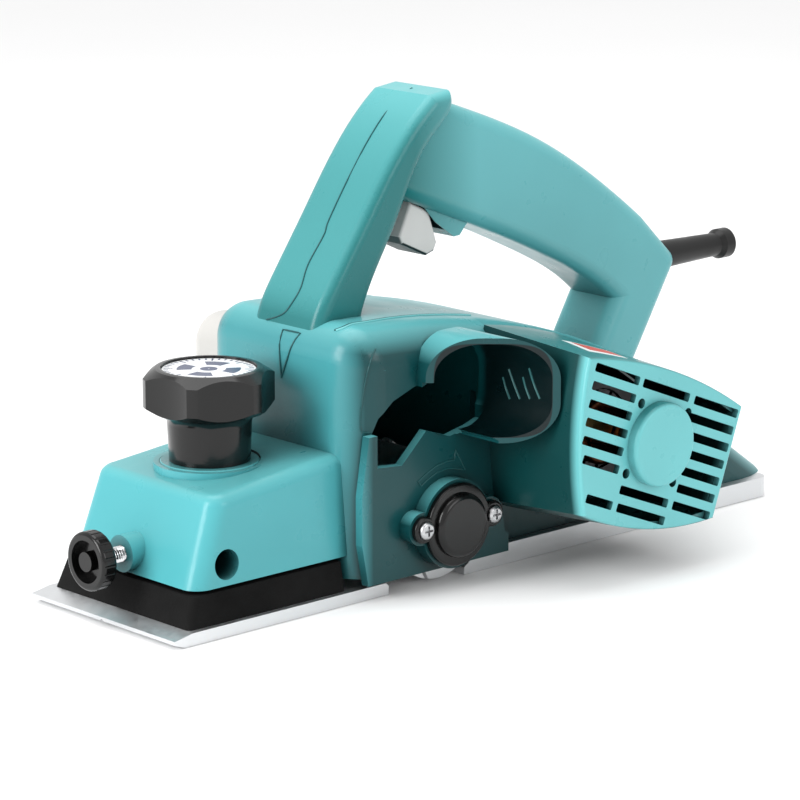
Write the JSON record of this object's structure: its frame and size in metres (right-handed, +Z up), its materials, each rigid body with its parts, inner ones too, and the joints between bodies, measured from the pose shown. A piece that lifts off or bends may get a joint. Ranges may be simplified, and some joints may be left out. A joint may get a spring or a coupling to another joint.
{
  "type": "electric hand planer",
  "caption": "Hand-held belt-driven wood planer with a motor across the body, adjustable front shoe, cutter drum and closed handle.",
  "frame": {"origin": "on the sole plane, straight below the middle of the cutter drum's axis", "axes": "+X towards the heel, +Y towards the belt side, +Z up through the handle"},
  "size_m": [0.3318, 0.1665, 0.1778],
  "materials": {
    "body_teal": "glossy moulded teal",
    "sole_aluminium": "ground, brushed along the planing direction",
    "collar_black": "fine textured black",
    "screw_steel": "zinc plated",
    "bright_steel": "polished thread",
    "spring_steel": "drawn wire",
    "gloss_black": "glossy black",
    "scale_white": "printed white scale",
    "brush_brass": "drawn",
    "drum_alloy": "turned",
    "blade_steel": "ground",
    "bearing_steel": "ground",
    "belt_rubber": "ribbed",
    "lamination": "stacked sheet",
    "copper": "enamelled copper wire",
    "fan_plastic": "moulded",
    "carbon": "pressed carbon",
    "housing_teal": "satin moulded teal",
    "handle_teal": "glossy moulded teal",
    "trigger_grey": "satin light grey",
    "switch_plastic": "moulded",
    "guard_rubber": "smooth",
    "cover_silver": "silver paint"
  },
  "bodies": {
    "frame": {"main_frame": "body_teal", "depth_spring": "spring_steel", "knob_ring": "body_teal", "rear_sole": "sole_aluminium", "sole_screws": "screw_steel", "drum_bearing_left": "bearing_steel", "drum_bearing_right": "bearing_steel", "motor_bearing_left": "bearing_steel", "motor_bearing_right": "bearing_steel", "drive_belt": "belt_rubber", "field_core": "lamination", "field_coils": "copper", "fan_baffle": "fan_plastic", "brush_holders": "brush_brass", "carbon_brushes": "carbon", "brush_springs": "spring_steel", "motor_housing": "housing_teal", "bearing_cover": "gloss_black", "bearing_cover_screws": "screw_steel", "handle_left": "handle_teal", "handle_right": "handle_teal", "handle_screws": "screw_steel", "trigger_spring": "spring_steel", "switch_body": "switch_plastic", "cord_guard": "guard_rubber", "cord_clamp": "switch_plastic", "cord_clamp_screws": "screw_steel", "belt_cover": "cover_silver", "belt_cover_screws": "screw_steel"},
    "shoe": {"front_shoe": "sole_aluminium", "shoe_collar": "collar_black", "shoe_screws": "screw_steel", "guide_pins": "screw_steel", "depth_stud": "bright_steel"},
    "knob": {"depth_knob": "gloss_black", "knob_scale": "scale_white"},
    "pad": {"clamp_pad": "brush_brass"},
    "thumb": {"thumb_screw": "bright_steel", "thumb_knob": "gloss_black"},
    "cutter": {"drum": "drum_alloy", "drum_blades": "blade_steel", "blade_set_plates": "screw_steel", "blade_clamps": "drum_alloy", "blade_bolts": "screw_steel", "drum_shaft": "bright_steel", "drum_pulley": "drum_alloy", "pulley_nut": "screw_steel"},
    "armature": {"armature_shaft": "bright_steel", "armature_core": "lamination", "armature_windings": "copper", "commutator": "copper", "cooling_fan": "fan_plastic", "motor_pulley": "drum_alloy"},
    "trigger_body": {"trigger": "trigger_grey"}
  },
  "joints": [
    {"name": "knob_turn", "type": "hinge", "parent": "frame", "child": "knob", "pos_m": [-0.075, 0, 0.052], "axis": [0, 0, -1], "range_deg": [0, 360]},
    {"name": "shoe_slide", "type": "slide", "parent": "frame", "child": "shoe", "axis": [0, 0, 1], "range_m": [0, 0.001], "deforming": ["depth_spring"]},
    {"name": "thumb_turn", "type": "hinge", "parent": "pad", "child": "thumb", "pos_m": [-0.1286, 0.002, 0.024], "axis": [1, 0, 0], "range_deg": [0, 900]},
    {"name": "pad_slide", "type": "slide", "parent": "frame", "child": "pad", "axis": [1, 0, 0], "range_m": [0, 0.0025]},
    {"name": "drum_spin", "type": "hinge", "parent": "frame", "child": "cutter", "pos_m": [0, 0, 0.0242], "axis": [0, 1, 0], "continuous": true},
    {"name": "armature_spin", "type": "hinge", "parent": "frame", "child": "armature", "pos_m": [0.0628, 0, 0.0516], "axis": [0, 1, 0], "continuous": true},
    {"name": "trigger_press", "type": "slide", "parent": "frame", "child": "trigger_body", "axis": [0.4226, 0, 0.9063], "range_m": [0, 0.005], "stiffness_N_per_m": 600, "deforming": ["trigger_spring"]}
  ],
  "couplings": [
    {"joint": "knob_turn", "follows": "shoe_slide", "rad_per_m": 6283.2},
    {"joint": "thumb_turn", "follows": "pad_slide", "rad_per_m": 6283.2},
    {"joint": "armature_spin", "follows": "drum_spin", "ratio": 1.2}
  ]
}
